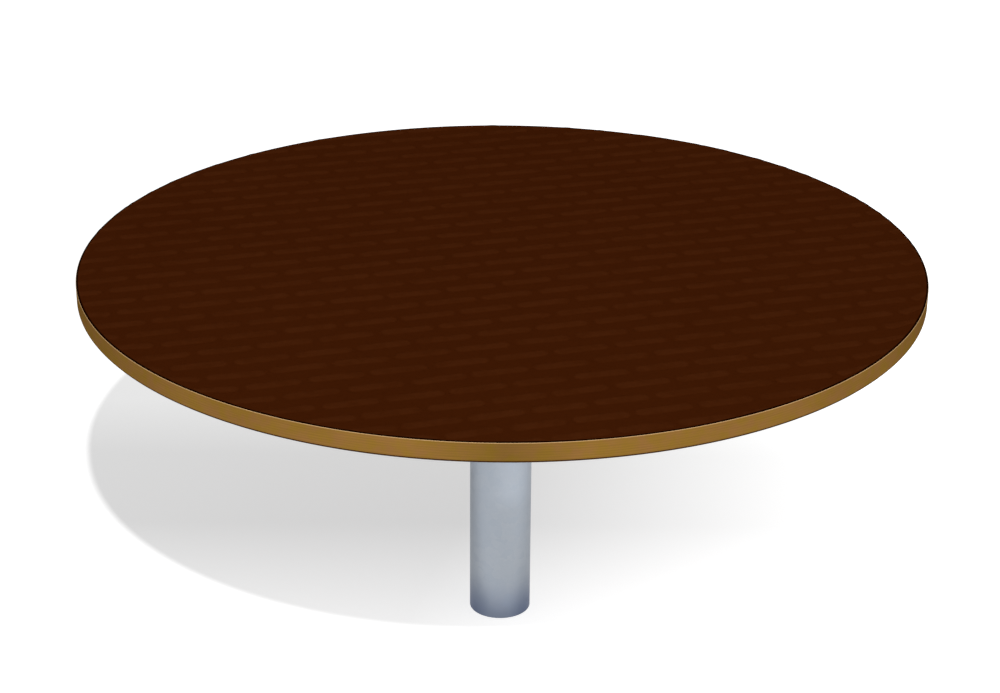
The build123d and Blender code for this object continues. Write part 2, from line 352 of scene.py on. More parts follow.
# The anti-slip top: brown phenolic-resin film hot-pressed on the ply with a patterned plate, which leaves low
# oval pads in slanting staggered rows. The film is cut square at the rim, where its dark edge shows.
film_set_back, film_chamfer = 0.0005, 0.0002
film_radius = board_radius - film_set_back
film_low = core_high
film_high = 0.4746
pad_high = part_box("anti_slip_facing")[1].z
pad_length, pad_width = 0.0640, 0.0180
along_row = Vector((0.06457, 0.01932, 0))
next_row = Vector((0.02272, 0.04169, 0))
first_pad = Vector((0.0094, -0.0141, 0))
pad_foot, pad_flank, pad_crown = 0.0002, 0.0040, 0.0020
flank_share, crown_share = 0.60, 0.15
rim_gap, least_stump, speck = 0.0003, 0.004, 0.00002
half_along, half_rows = 13, 15
stray_along, stray_across, twist, shortest, longest = 0.0009, 0.0007, 2.0, 0.96, 1.02
squarely = 0.9


def facing(side):
    """A test for faces that look up, for 1, or down, for -1, to within about 25 degrees."""
    return lambda face: face.normal.z * side > squarely


film = disc("anti_slip_film", film_radius, film_low, film_high, rim_corners)
round_off(film, "EDGE", at_height(film_high), film_chamfer, 1)
bpy.ops.mesh.primitive_cylinder_add(vertices=16, radius=pad_width / 2, depth=pad_foot,
                                    rotation=(0, 0, math.pi / 16), location=(0, 0, film_high))
pads = begin("pads")
for side in (1, -1):
    pick(pads, "VERT", lambda v: v.co.x * side > 0)
    bpy.ops.transform.translate(value=(side * (pad_length - pad_width) / 2, 0, 0))
pick(pads, "FACE", facing(1))
bpy.ops.mesh.inset(thickness=pad_flank, depth=(pad_high - film_high) * flank_share)
bpy.ops.mesh.inset(thickness=pad_crown, depth=(pad_high - film_high) * crown_share)
choose(pads)
one_pad = len(pads.data.vertices)
for count, step in ((2 * half_along + 1, along_row), (2 * half_rows + 1, next_row)):
    spread = pads.modifiers.new("rows", "ARRAY")
    spread.count = count
    spread.use_relative_offset = False
    spread.use_constant_offset = True
    spread.constant_offset_displace = step
    bpy.ops.object.modifier_apply(modifier=spread.name)
shape(pads)
mesh = bmesh.from_edit_mesh(pads.data)
mesh.verts.ensure_lookup_table()
chance = random.Random(7)
row_turn = math.atan2(along_row.y, along_row.x)
outside = []
for start in range(0, len(mesh.verts), one_pad):
    verts = [mesh.verts[i] for i in range(start, start + one_pad)]
    middle = sum((v.co for v in verts), Vector()) / one_pad
    home = middle - half_along * along_row - half_rows * next_row + first_pad
    stray = (chance.uniform(-stray_along, stray_along), chance.uniform(-stray_across, stray_across), 0)
    home += Vector(stray)
    turn = Matrix.Rotation(row_turn + math.radians(chance.uniform(-twist, twist)), 3, "Z")
    stretch = chance.uniform(shortest, longest)
    for v in verts:
        flat = Vector(((v.co.x - middle.x) * stretch, v.co.y - middle.y, 0))
        high = v.co.z
        v.co = turn @ flat + Vector((home.x, home.y, 0))
        v.co.z = high
    reach = [v.co.xy.length for v in verts]
    if min(reach) > film_radius - least_stump:
        outside += verts
        continue
    for v in verts:
        if v.co.xy.length > film_radius - rim_gap:
            cut_back = (film_radius - rim_gap) / v.co.xy.length
            v.co.x *= cut_back
            v.co.y *= cut_back
bmesh.ops.delete(mesh, geom=outside, context="VERTS")
bmesh.update_edit_mesh(pads.data)
bpy.ops.mesh.select_all(action="SELECT")
bpy.ops.mesh.dissolve_degenerate(threshold=speck)


def together(name, parts):
    """Makes one piece of several."""
    choose(parts[0])
    for part in parts[1:]:
        part.select_set(True)
    if len(parts) > 1:
        bpy.ops.object.join()
    parts[0].name = parts[0].data.name = name
    return parts[0]


film = together("anti_slip_film", [film, pads])

# Embossed brown phenolic film: dull dark brown resin over paper fibre, with next to no gloss. The pads' tops
# are a shade paler, unevenly, and the cut at the rim is near black. The counts are to the metre:
# paper fibres drawn 4 mm long so that they show, press clouds of 170 mm, and pale patches of 17 mm on the
# pads.
fibre_count, cloud_count, pale_top_count = 260.0, 6.0, 60.0
embossed_film, tree, shader, place = new_finish("embossed_brown_phenolic_film", "3a1a04", 0.75)
feed(shader, {"Specular IOR Level": 0.0})
axes = add(tree, "SeparateXYZ", {"Vector": place}).outputs
fibre = add(tree, "TexNoise", {"Vector": place, "Scale": fibre_count, "Detail": 5.0, "Roughness": 0.65})
cloud = add(tree, "TexNoise", {"Vector": place, "Scale": cloud_count, "Detail": 4.0})
on_pad = add(tree, "MapRange",
             {"Value": axes["Z"], "From Min": film_high + 0.00010, "From Max": pad_high - 0.00008})
pale_top_noise = add(tree, "TexNoise", {"Vector": place, "Scale": pale_top_count, "Detail": 3.0})
pale_top_noise = add(tree, "MapRange",
             {"Value": pale_top_noise, "From Min": 0.36, "From Max": 0.60, "To Min": 0.45, "To Max": 1.05})
on_pad = add(tree, "Math", {0: on_pad, 1: pale_top_noise}, operation="MULTIPLY")
ground = add(tree, "Mix", {0: cloud, 6: "3a1704", 7: "3e1a06"})
top = add(tree, "Mix", {0: cloud, 6: "401c08", 7: "441f0a"})
pressed = add(tree, "Mix", {0: on_pad, 6: ground, 7: top})
fleck = add(tree, "MapRange",
            {"Value": fibre, "From Min": 0.3, "From Max": 0.7, "To Min": 0.93, "To Max": 1.07})
flecked = add(tree, "VectorMath", {0: pressed, "Scale": fleck}, operation="SCALE")
from_middle = add(tree, "CombineXYZ", {"X": axes["X"], "Y": axes["Y"]})
from_middle = add(tree, "VectorMath", {0: from_middle}, operation="LENGTH")
at_rim = add(tree, "MapRange",
             {"Value": from_middle, "From Min": film_radius - 0.0024, "From Max": film_radius - 0.0018})
rimmed = add(tree, "Mix", {0: at_rim, 6: flecked, 7: "150500"})
dull = add(tree, "MapRange", {"Value": fibre, "To Min": 0.66, "To Max": 0.84})
grit = add(tree, "Bump", {"Height": fibre, "Strength": 0.12, "Distance": 0.0002})
feed(shader, {"Base Color": rimmed, "Roughness": dull, "Normal": grit})
dress(film, embossed_film, 30)
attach(film, "platform")
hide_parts("anti_slip_facing")

# The smooth underside film: the same brown resin film, pressed flat and left glossy. It is drilled for the
# eight threaded inserts, two over each arm.
under_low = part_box("underside_facing")[0].z
under_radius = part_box("underside_facing")[1].x
insert_reaches = (0.150, 0.350)
insert_hole, drill_depth = 0.0085, 0.01
under_chamfer, sliver = 0.0003, 0.000005
fixings = [(turn, reach) for turn in (0, 90, 180, 270) for reach in insert_reaches]


def merge(piece, threshold):
    """Opens a piece and merges all its doubled corners."""
    shape(piece)
    bpy.ops.mesh.select_all(action="SELECT")
    bpy.ops.mesh.remove_doubles(threshold=threshold)


def fixing_place(turn, reach):
    """The middle of a fixing on the board, on the arm at this angle and this far from the post."""
    return Vector((reach * math.cos(math.radians(turn)), reach * math.sin(math.radians(turn)), 0))


def aim(axis):
    """The rotation that lays an upright primitive along X, Y or Z."""
    return {"X": (0, math.pi / 2, 0), "Y": (-math.pi / 2, 0, 0), "Z": (0, 0, 0)}[axis]


def carve(piece, tool, operation):
    """Cuts a piece by a solid tool, by DIFFERENCE or INTERSECT, and puts the tool away."""
    choose(piece)
    cut = piece.modifiers.new("cut", "BOOLEAN")
    cut.object = tool
    cut.operation = operation
    cut.solver = "EXACT"
    bpy.ops.object.modifier_apply(modifier=cut.name)
    bpy.data.objects.remove(tool)


def bore(piece, middle, axis, radius, depth):
    """Drills a round hole through a piece."""
    deselect()
    bpy.ops.mesh.primitive_cylinder_add(vertices=48, radius=radius, depth=depth, location=middle,
                                        rotation=aim(axis))
    carve(piece, begin("drill"), "DIFFERENCE")


def soften(piece, width, segments=2, turn=40):
    """Breaks the sharp edges of a piece by a small round."""
    choose(piece)
    bevel = piece.modifiers.new("edges", "BEVEL")
    bevel.width = width
    bevel.segments = segments
    bevel.limit_method = "ANGLE"
    bevel.angle_limit = math.radians(turn)
    bevel.use_clamp_overlap = True
    bpy.ops.object.modifier_apply(modifier=bevel.name)


under = disc("smooth_underside_film", under_radius, under_low, core_low, rim_corners)
round_off(under, "EDGE", at_height(under_low), under_chamfer, 1)
for turn, reach in fixings:
    bore(under, fixing_place(turn, reach) + Vector((0, 0, under_low)), "Z", insert_hole, drill_depth)
merge(under, sliver)
bpy.ops.mesh.fill_holes(sides=4)
bpy.ops.mesh.normals_make_consistent(inside=False)

# Smooth brown phenolic film: a satin resin skin with long soft press clouds and fine scratches from
# stacking. The counts are to the metre: clouds of 140 mm, and scratches 80 mm long and 1.4 mm apart.
cloud_count, scratch_count, scratch_length_count, scratch_turn = 7.0, 700, 12, 0.5
smooth_film, tree, shader, place = new_finish("smooth_brown_phenolic_film", "3d1d08", 0.38)
feed(shader, {"Specular IOR Level": 0.25})
cloud = add(tree, "TexNoise", {"Vector": place, "Scale": cloud_count, "Detail": 4.0})
brown = add(tree, "Mix", {0: cloud, 6: "371804", 7: "45230c"})
drawn = add(tree, "Mapping", {"Vector": place, "Rotation": (0, 0, scratch_turn),
                              "Scale": (scratch_length_count, scratch_count, scratch_length_count)})
scratch = add(tree, "TexNoise", {"Vector": drawn, "Scale": 1.0, "Detail": 3.0})
satin = add(tree, "MapRange",
            {"Value": scratch, "From Min": 0.35, "From Max": 0.7, "To Min": 0.32, "To Max": 0.50})
feed(shader, {"Base Color": brown, "Roughness": satin})
dress(under, smooth_film, 30)
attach(under, "platform")
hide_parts("underside_facing")

# The threaded inserts: turned steel sleeves pressed into blind holes in the ply. The film, arms and washers
# cover them whole, so the built solids stay and only get their plating.

# Zinc-plated steel: bright bluish passivated zinc, a little cloudy, with a faint yellow cast where it is
# thick. Its clouds are about 5 mm wide, 220 to the metre.
haze_count = 220.0
zinc_plate, tree, shader, place = new_finish("blue_passivated_zinc_plate", "b4b8bd", 0.30, 1.0)
haze = add(tree, "TexNoise", {"Vector": place, "Scale": haze_count, "Detail": 3.0})
zinc = add(tree, "Mix", {0: haze, 6: "a9aeb5", 7: "c0bfb6"})
matt = add(tree, "MapRange",
           {"Value": haze, "From Min": 0.3, "From Max": 0.7, "To Min": 0.24, "To Max": 0.40})
feed(shader, {"Base Color": zinc, "Roughness": matt})
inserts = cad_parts["board_inserts"]
inserts.data.materials.clear()
inserts.data.materials.append(zinc_plate)

# The arms: cold-formed 60 x 30 x 3 steel tube laid flat under the board, one through arm and two that butt
# to it, drilled for the board bolts and hot-dip galvanised after welding.
arm_width, arm_wall, arm_corner = 0.060, 0.003, 0.005
arm_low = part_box("through_arm")[0].z
arm_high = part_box("through_arm")[1].z
arm_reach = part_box("through_arm")[1].x
bolt_hole, arm_drill = 0.0055, 0.05


def block(name, middle, size):
    """A square-cornered blank about its middle."""
    deselect()
    bpy.ops.mesh.primitive_cube_add(size=1, location=middle, scale=size)
    return begin(name)


def runs(along, length):
    """A test for edges that run further than a length along X, Y or Z, numbered from 0."""
    return lambda edge: abs(edge.verts[0].co[along] - edge.verts[1].co[along]) > length


def square_tube(name, low, high, axis, corner, wall):
    """A cold-formed tube along X or Y: a block with rounded long edges, opened at its ends to a wall."""
    along = "XYZ".index(axis)
    size = [high[i] - low[i] for i in range(3)]
    tube = block(name, [(high[i] + low[i]) / 2 for i in range(3)], size)
    round_off(tube, "EDGE", runs(along, size[along] / 2), corner, 8)
    pick(tube, "FACE", lambda face: abs(face.normal[along]) > squarely)
    bpy.ops.mesh.inset(thickness=wall)
    bpy.ops.mesh.bridge_edge_loops()
    deselect()
    return tube


arms = {}
for name, low, high, axis in (
    ("through_arm_tube", (-arm_reach, -arm_width / 2, arm_low), (arm_reach, arm_width / 2, arm_high), "X"),
    ("front_arm_tube", (-arm_width / 2, -arm_reach, arm_low), (arm_width / 2, -arm_width / 2, arm_high), "Y"),
    ("rear_arm_tube", (-arm_width / 2, arm_width / 2, arm_low), (arm_width / 2, arm_reach, arm_high), "Y"),
):
    arms[name] = square_tube(name, low, high, axis, arm_corner, arm_wall)
half_way_up = Vector((0, 0, (arm_low + arm_high) / 2))
for turn, reach in fixings:
    name = {0: "through_arm_tube", 180: "through_arm_tube", 90: "rear_arm_tube", 270: "front_arm_tube"}[turn]
    bore(arms[name], fixing_place(turn, reach) + half_way_up, "Z", bolt_hole, arm_drill)

# Hot-dip galvanised steel: zinc crystals about 9 mm across in two close greys, dulled by bluish weathering,
# darker and glossier in patches where the zinc ran. On the post, painted shade darkens the lower end, most
# at its left and right sides, and a broad band of painted shade goes down its front and back. The counts
# are to the metre: crystals of 9 mm with borders that waver by a few millimetres, patches of 60 mm, grains
# of about 1 mm, drawn so coarse to show, and ripples of 14 mm.
crystal_count, border_count, border_waver = 110.0, 160.0, 0.006
patch_count, grain_count, ripple_count = 16.0, 900.0, 70.0
shade_band_middle, shade_band_reach, shade_band_flat = 0.013, 0.036, 0.002


def galvanise(name, dark_end_heights=None):
    """The zinc finish; with two heights, a hung part's lower end and a band down it get painted shade."""
    material, tree, shader, place = new_finish(name, "9298a0", 0.48, 1.0)
    bend = add(tree, "TexNoise", {"Vector": place, "Scale": border_count, "Detail": 2.0}).outputs["Color"]
    bend = add(tree, "VectorMath", {0: bend, "Scale": border_waver}, operation="SCALE")
    bent = add(tree, "VectorMath", {0: place, 1: bend}, operation="ADD")
    crystal = add(tree, "TexVoronoi", {"Vector": bent, "Scale": crystal_count}).outputs["Color"]
    crystal = add(tree, "SeparateColor", {"Color": crystal})
    spangle = add(tree, "Mix", {0: crystal, 6: "969da6", 7: "9fa5ad"})
    dusk = add(tree, "TexNoise", {"Vector": place, "Scale": patch_count, "Detail": 5.0, "Roughness": 0.6})
    patch = add(tree, "MapRange", {"Value": dusk, "From Min": 0.42, "From Max": 0.68, "To Max": 0.28})
    zinc = add(tree, "Mix", {0: patch, 6: spangle, 7: "929aa5"})
    if dark_end_heights:
        # Painted shade: the lower end between the two heights darkens, most at the left and right sides.
        axes = add(tree, "SeparateXYZ", {"Vector": place}).outputs
        end = add(tree, "MapRange", {"Value": axes["Z"], "From Min": dark_end_heights[0], "From Max": dark_end_heights[1],
                                     "To Min": 0.95, "To Max": 0.0}, interpolation_type="SMOOTHSTEP")
        side = add(tree, "Math", {0: axes["X"]}, operation="ABSOLUTE")
        side = add(tree, "MapRange", {"Value": side, "From Min": 0.012, "From Max": 0.036, "To Min": 0.60})
        end = add(tree, "Math", {0: end, 1: side}, operation="MULTIPLY")
        zinc = add(tree, "Mix", {0: end, 6: zinc, 7: "53607c"})
        # Painted shade: a broad band down the front and back, from about 20 to 176 mm up, is made darker.
        painted_shade_band = add(tree, "Math", {0: axes["X"], 1: shade_band_middle}, operation="SUBTRACT")
        painted_shade_band = add(tree, "Math", {0: painted_shade_band}, operation="ABSOLUTE")
        painted_shade_band = add(tree, "MapRange", {"Value": painted_shade_band, "From Min": shade_band_reach, "From Max": shade_band_flat},
                  interpolation_type="SMOOTHSTEP")
        lower = add(tree, "MapRange", {"Value": axes["Z"], "From Min": 0.176, "From Max": 0.150})
        upper = add(tree, "MapRange", {"Value": axes["Z"], "From Min": 0.020, "From Max": 0.060})
        painted_shade_band = add(tree, "Math", {0: painted_shade_band, 1: lower}, operation="MULTIPLY")
        painted_shade_band = add(tree, "Math", {0: painted_shade_band, 1: upper}, operation="MULTIPLY")
        band_shade = add(tree, "Mix", {0: painted_shade_band, 6: (1, 1, 1, 1), 7: (0.885, 0.88, 0.87, 1)})
        zinc = add(tree, "VectorMath", {0: zinc, 1: band_shade}, operation="MULTIPLY")
    fine = add(tree, "TexNoise", {"Vector": place, "Scale": grain_count, "Detail": 2.0})
    dull = add(tree, "Math", {0: crystal, 1: fine}, operation="ADD")
    dull = add(tree, "MapRange", {"Value": dull, "From Max": 2.0, "To Min": 0.40, "To Max": 0.58})
    ripple = add(tree, "TexNoise", {"Vector": place, "Scale": ripple_count, "Detail": 3.0})
    ripple = add(tree, "Bump", {"Height": ripple, "Strength": 0.12, "Distance": 0.0008})
    feed(shader, {"Base Color": zinc, "Roughness": dull, "Normal": ripple})
    return material


galvanised = galvanise("hot_dip_galvanised_steel")
for name, arm in arms.items():
    dress(arm, galvanised, 30)
    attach(arm, "platform")
    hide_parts(name.removesuffix("_tube"))

# The arm end caps: moulded black polyethylene plugs with a thin pillow head over the tube's cut end, hollow
# inside and pushed in by hand.
cap_plate, cap_pillow = 0.003, 0.0016
cap_plug, cap_plug_wall, cap_play = 0.018, 0.002, 0.0003
along_x = Matrix(((0, 0, 1), (1, 0, 0), (0, 1, 0))).to_4x4()

# Moulded polyethylene: a dull black with a faint grain from the spark-eroded mould, greyer where it faded.
# The counts are to the metre: grains of 0.4 mm and faded patches of 22 mm.
spark_count, fade_count = 2400.0, 45.0
moulded, tree, shader, place = new_finish("black_moulded_polyethylene", "17181a", 0.46)
feed(shader, {"Specular IOR Level": 0.35})
spark = add(tree, "TexNoise", {"Vector": place, "Scale": spark_count, "Detail": 1.0})
faded = add(tree, "TexNoise", {"Vector": place, "Scale": fade_count, "Detail": 3.0})
black = add(tree, "Mix", {0: faded, 6: "141517", 7: "202123"})
eroded = add(tree, "Bump", {"Height": spark, "Strength": 0.3, "Distance": 0.0001})
feed(shader, {"Base Color": black, "Normal": eroded})
in_end = Matrix.Translation((arm_reach, 0, (arm_low + arm_high) / 2))
caps = []
for turn in (0, 90, 180, 270):
    cap = block("cap_%03d" % turn, (0, 0, cap_plate / 2), (arm_width, arm_high - arm_low, cap_plate))
    round_off(cap, "EDGE", runs(2, cap_plate / 2), arm_corner, 6)
    round_off(cap, "FACE", facing(1), cap_pillow, 3)
    pick(cap, "FACE", facing(-1))
    bpy.ops.mesh.inset(thickness=arm_wall + cap_play)
    bpy.ops.mesh.extrude_region_move(TRANSFORM_OT_translate={"value": (0, 0, -cap_plug)})
    bpy.ops.mesh.inset(thickness=cap_plug_wall)
    bpy.ops.mesh.extrude_region_move(TRANSFORM_OT_translate={"value": (0, 0, cap_plug)})
    deselect()
    cap.data.transform(Matrix.Rotation(math.radians(turn), 4, "Z") @ in_end @ along_x)
    caps.append(cap)
plugs = together("arm_end_plugs", caps)
dress(plugs, moulded, 35)
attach(plugs, "platform")
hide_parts("arm_end_caps")

# The hub plate: a 10 mm laser-cut steel disc, welded under the arms where they cross, with the rim's sharp
# edges ground off to a small round. It is galvanised with the arms.
hub_radius, hub_edge = 0.110, 0.001
hub_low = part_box("hub_plate")[0].z
hub_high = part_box("hub_plate")[1].z
hub = disc("hub_disc", hub_radius, hub_low, hub_high, 160)
round_off(hub, "EDGE", lambda edge: at_height(hub_low)(edge) or at_height(hub_high)(edge), hub_edge, 2)
dress(hub, galvanised)
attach(hub, "platform")
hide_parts("hub_plate")

# The head plate: a 10 mm laser-cut steel disc, welded on the post's upper end and galvanised with it. A hole
# of 20 mm in its middle lets air out and zinc in when the post is dipped.
head_radius, vent_radius, head_edge = 0.075, 0.010, 0.001
head_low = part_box("head_plate")[0].z
head_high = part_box("head_plate")[1].z


def ring(name, outer, inner, low, high, corners):
    """A turned ring about the post's line: a disc inset on both faces and bridged through."""
    made = disc(name, outer, low, high, corners)
    pick(made, "FACE", lambda face: abs(face.normal.z) > squarely)
    bpy.ops.mesh.inset(thickness=outer - inner, use_even_offset=False)
    bpy.ops.mesh.bridge_edge_loops()
    deselect()
    return made


head = ring("post_head_disc", head_radius, vent_radius, head_low, head_high, 144)
soften(head, head_edge)
dress(head, galvanised)
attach(head, "post")
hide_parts("head_plate")

# The post: 76.1 x 4 mm welded steel tube, sawn square at its lower end and hot-dip galvanised. It stands on
# that end and is set in the ground up to about 190 mm.
post_radius, post_wall, post_edge = 0.03805, 0.004, 0.0004
dark_end_from, dark_end_to = -0.004, 0.066
post_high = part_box("post_tube")[1].z
post = ring("ground_post_tube", post_radius, post_radius - post_wall, 0.0, post_high, 144)
soften(post, post_edge)
dress(post, galvanise("hot_dip_galvanised_post", (dark_end_from, dark_end_to)))
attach(post, "post")
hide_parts("post_tube")

# The bearing lugs: four 10 mm laser-cut plates with round ends, two welded up from the head plate and two
# down from the hub plate, each bored for its unit's core bolt.
lug_half, lug_near, lug_far, lug_hole = 0.030, 0.057, 0.067, 0.0085
lug_drill, lug_edge = 0.03, 0.0008
crown_gap, crown_merge = 0.00002, 0.0001
lower_axis, upper_axis = 0.296, 0.366
for name, node, body, axis, side, axle, foot in (
    ("lower_left_lug", "lower_ear_left", "post", "X", -1, lower_axis, head_high),
    ("lower_right_lug", "lower_ear_right", "post", "X", 1, lower_axis, head_high),
    ("upper_front_lug", "upper_ear_front", "platform", "Y", -1, upper_axis, hub_low),
    ("upper_rear_lug", "upper_ear_rear", "platform", "Y", 1, upper_axis, hub_low),
):
    along = "XY".index(axis)
    crown = axle + math.copysign(lug_half, axle - foot)
    low = [-lug_half, -lug_half, min(foot, crown)]
    high = [lug_half, lug_half, max(foot, crown)]
    low[along], high[along] = sorted((side * lug_near, side * lug_far))
    middle = Vector((0, 0, axle))
    middle[along] = (low[along] + high[along]) / 2
    lug = block(name, [(a + b) / 2 for a, b in zip(low, high)], [b - a for a, b in zip(low, high)])
    through = runs(along, (lug_far - lug_near) / 2)
    round_off(lug, "EDGE", lambda edge: at_height(crown)(edge) and through(edge), lug_half - crown_gap, 24)
    merge(lug, crown_merge)
    bore(lug, middle, axis, lug_hole, lug_drill)
    soften(lug, lug_edge)
    dress(lug, galvanised)
    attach(lug, body)
    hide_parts(node)

# The torsion units' housings: two 110 mm lengths of 70 x 70 x 4 square steel tube, laid across each other
# and welded face to face before galvanising.
housing_half, housing_wall, housing_corner, housing_reach = 0.035, 0.004, 0.006, 0.055
housing_edge = 0.0005
for name, node, axis, axle in (
    ("lower_housing_tube", "lower_housing", "X", lower_axis),
    ("upper_housing_tube", "upper_housing", "Y", upper_axis),
):
    reach = [housing_half, housing_half]
    reach.insert("XY".index(axis), housing_reach)
    low = (-reach[0], -reach[1], axle - housing_half)
    high = (reach[0], reach[1], axle + housing_half)
    housing = square_tube(name, low, high, axis, housing_corner, housing_wall)
    soften(housing, housing_edge, 2, 60)
    dress(housing, galvanised, 30)
    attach(housing, "cross_unit")
    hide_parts(node)

# The torsion units' cores: 35 mm square steel bar set on its corner in the housing, bored for the core bolt
# and held still between the lugs.
core_half, core_corner, core_bore, core_reach = 0.0175, 0.0015, 0.0085, 0.057
core_drill, core_edge = 0.2, 0.0004
for name, node, body, axis, axle in (
    ("lower_core_bar", "lower_core", "post", "X", lower_axis),
    ("upper_core_bar", "upper_core", "platform", "Y", upper_axis),
):
    along = "XY".index(axis)
    size = [2 * core_half, 2 * core_half]
    size.insert(along, 2 * core_reach)
    bar = block(name, (0, 0, 0), size)
    round_off(bar, "EDGE", runs(along, core_reach), core_corner, 4)
    bore(bar, (0, 0, 0), axis, core_bore, core_drill)
    soften(bar, core_edge, 2, 60)
    on_corner = Matrix.Rotation(math.pi / 4, 4, axis)
    bar.data.transform(Matrix.Translation((0, 0, axle)) @ on_corner)
    dress(bar, galvanised)
    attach(bar, body)
    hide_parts(node)

# The rubber cords: four natural-rubber cords a unit, pressed cold between the core's flats and the housing's
# corners. They hold the parts together and twist as the board tips. Their cut ends bulge a little.
cord_reach, cord_gap, cord_round = 0.0535, 0.0003, 0.007
end_bulges = ((0.0012, 0.0007), (0.0025, 0.0004))
cord_wall = housing_half - housing_wall - cord_gap
cord_base = core_half + cord_gap
cord_point = cord_base * math.sqrt(2) - cord_wall
cord_tip = cord_wall * math.sqrt(2)
across_y = Matrix(((1, 0, 0), (0, 0, -1), (0, 1, 0))).to_4x4()

# Black natural rubber: a dull skin with a pale bloom of wax and talc in clouds. The counts are to the metre:
# clouds of 17 mm, and pores of about 1 mm, drawn so coarse to show.
bloom_count, pore_count = 60.0, 1100.0
rubber, tree, shader, place = new_finish("black_natural_rubber", "1b1b1c", 0.72)
feed(shader, {"Specular IOR Level": 0.30})
bloom = add(tree, "TexNoise", {"Vector": place, "Scale": bloom_count, "Detail": 5.0, "Roughness": 0.6})
talc = add(tree, "MapRange", {"Value": bloom, "From Min": 0.40, "From Max": 0.75, "To Max": 0.5})
dusty = add(tree, "Mix", {0: talc, 6: "171718", 7: "343331"})
skin = add(tree, "TexNoise", {"Vector": place, "Scale": pore_count, "Detail": 2.0})
skin = add(tree, "Bump", {"Height": skin, "Strength": 0.3, "Distance": 0.0002})
feed(shader, {"Base Color": dusty, "Normal": skin})
blank_length = 2 * (cord_reach - sum(rise for width, rise in end_bulges))
blank_width, blank_middle = cord_wall - cord_point, (cord_wall + cord_point) / 2
outward = Vector((1, 1, 0)).normalized()
cord_slices = (-0.03, -0.01, 0.01, 0.03)
hair, cord_merge, near = 1e-6, 0.00002, 0.001


def at_tip(edge):
    """A test for the long edge in the housing's corner."""
    return runs(2, cord_reach)(edge) and edge.verts[0].co.xy.length > cord_tip - near


def at_point(edge):
    """A test for the two long edges where the core's flat meets the housing's wall."""
    return runs(2, cord_reach)(edge) and min(edge.verts[0].co.xy) < cord_point + near


for level, axle, lay, inner, outer in (
    ("lower", lower_axis, along_x, "post", "cross_unit"),
    ("upper", upper_axis, across_y, "platform", "cross_unit"),
):
    for number in range(4):
        cord = block("%s_rubber_cord_%d" % (level, number + 1), (blank_middle, blank_middle, 0),
                     (blank_width, blank_width, blank_length))
        shape(cord)
        bpy.ops.mesh.select_all(action="SELECT")
        bpy.ops.mesh.bisect(plane_co=outward * (cord_base + hair), plane_no=outward, use_fill=True,
                            clear_inner=True)
        merge(cord, cord_merge)
        round_off(cord, "EDGE", at_tip, cord_round, 8)
        round_off(cord, "EDGE", at_point, cord_round / math.tan(math.pi / 8), 10)
        for end in (1, -1):
            pick(cord, "FACE", facing(end))
            for width, rise in end_bulges:
                bpy.ops.mesh.inset(thickness=width, depth=rise)
        for slice_at in cord_slices:
            bpy.ops.mesh.select_all(action="SELECT")
            bpy.ops.mesh.bisect(plane_co=(0, 0, slice_at), plane_no=(0, 0, 1))
        deselect()
        quarter = Matrix.Rotation(math.radians(90 * number), 4, "Z")
        place_it = Matrix.Translation((0, 0, axle)) @ lay @ quarter
        cord.data.transform(place_it)
        dress(cord, rubber, 50)
        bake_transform(cord)
        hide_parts(level + "_rubber_cords")

# The stop pads: four strips of hard black rubber, glued two to the head plate and two to the hub plate
# beside each housing, which it meets when the board has tipped as far as it goes.
pad_half_width, pad_half_length, pad_beside, pad_thick, pad_round = 0.007, 0.035, 0.02468, 0.006946, 0.002
for name, node, body, axis, foot, up in (
    ("lower_stop_strips", "lower_stop_pads", "post", "X", head_high, 1),
    ("upper_stop_strips", "upper_stop_pads", "platform", "Y", hub_low, -1),
):
    strips = []
    for side in (-1, 1):
        along = "XY".index(axis)
        size = [2 * pad_half_width, 2 * pad_half_width, pad_thick]
        size[along] = 2 * pad_half_length
        middle = [0, 0, foot + up * pad_thick / 2]
        middle[1 - along] = side * pad_beside
        strip = block("strip", middle, size)
        round_off(strip, "FACE", facing(up), pad_round, 4)
        strips.append(strip)
    pads = together(name, strips)
    dress(pads, rubber, 50)
    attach(pads, body)
    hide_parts(node)

# The board bolts: eight M10 hexagon bolts with washers, screwed up through the arms into the inserts. Bolts
# and nuts are cold-headed steel with a 30 degree crown chamfer and rolled threads, zinc plated.
board_across, board_shank, board_thread_from, board_pitch = 0.016, 0.005, 0.450, 0.0015
board_washer_radius, washer_edge, bolt_turn = 0.010, 0.0003, 0.4
crown_across, cone_below, thread_depth, tip_chamfer = 0.47, 0.001, 0.6, 0.5
into_head, beyond = 0.001, 0.0001


def hexagon(across, thick, base):
    """A hexagon blank standing on a height, its upper corners turned off to a 30 degree cone."""
    deselect()
    bpy.ops.mesh.primitive_cylinder_add(vertices=6, radius=across / math.sqrt(3), depth=thick,
                                        location=(0, 0, base + thick / 2), rotation=(0, 0, math.pi / 6))
    blank = begin("hexagon")
    crown = across * crown_across
    tall = thick + cone_below
    bpy.ops.mesh.primitive_cone_add(vertices=96, radius1=crown + tall * math.sqrt(3), radius2=crown,
                                    depth=tall, location=(0, 0, base + (thick - cone_below) / 2))
    carve(blank, begin("cone"), "INTERSECT")
    return blank


def shank(radius, low, high, thread_from, pitch):
    """A bolt's shank standing on a height, with a ridge for each turn of its thread and a chamfered tip."""
    made = disc("shank", radius, low, thread_from, 40)
    pick(made, "FACE", facing(1))
    root = 1 - thread_depth * pitch / radius
    turns = round((high - thread_from) / pitch)
    half_turn = (0, 0, (high - thread_from) / turns / 2)
    for turn in range(turns):
        for width in (root, 1 / root):
            bpy.ops.mesh.extrude_region_move(TRANSFORM_OT_translate={"value": half_turn})
            bpy.ops.transform.resize(value=(width, width, 1), center_override=(0, 0, 0))
    pick(made, "FACE", facing(1))
    bpy.ops.mesh.inset(thickness=pitch * tip_chamfer)
    deselect()
    return made


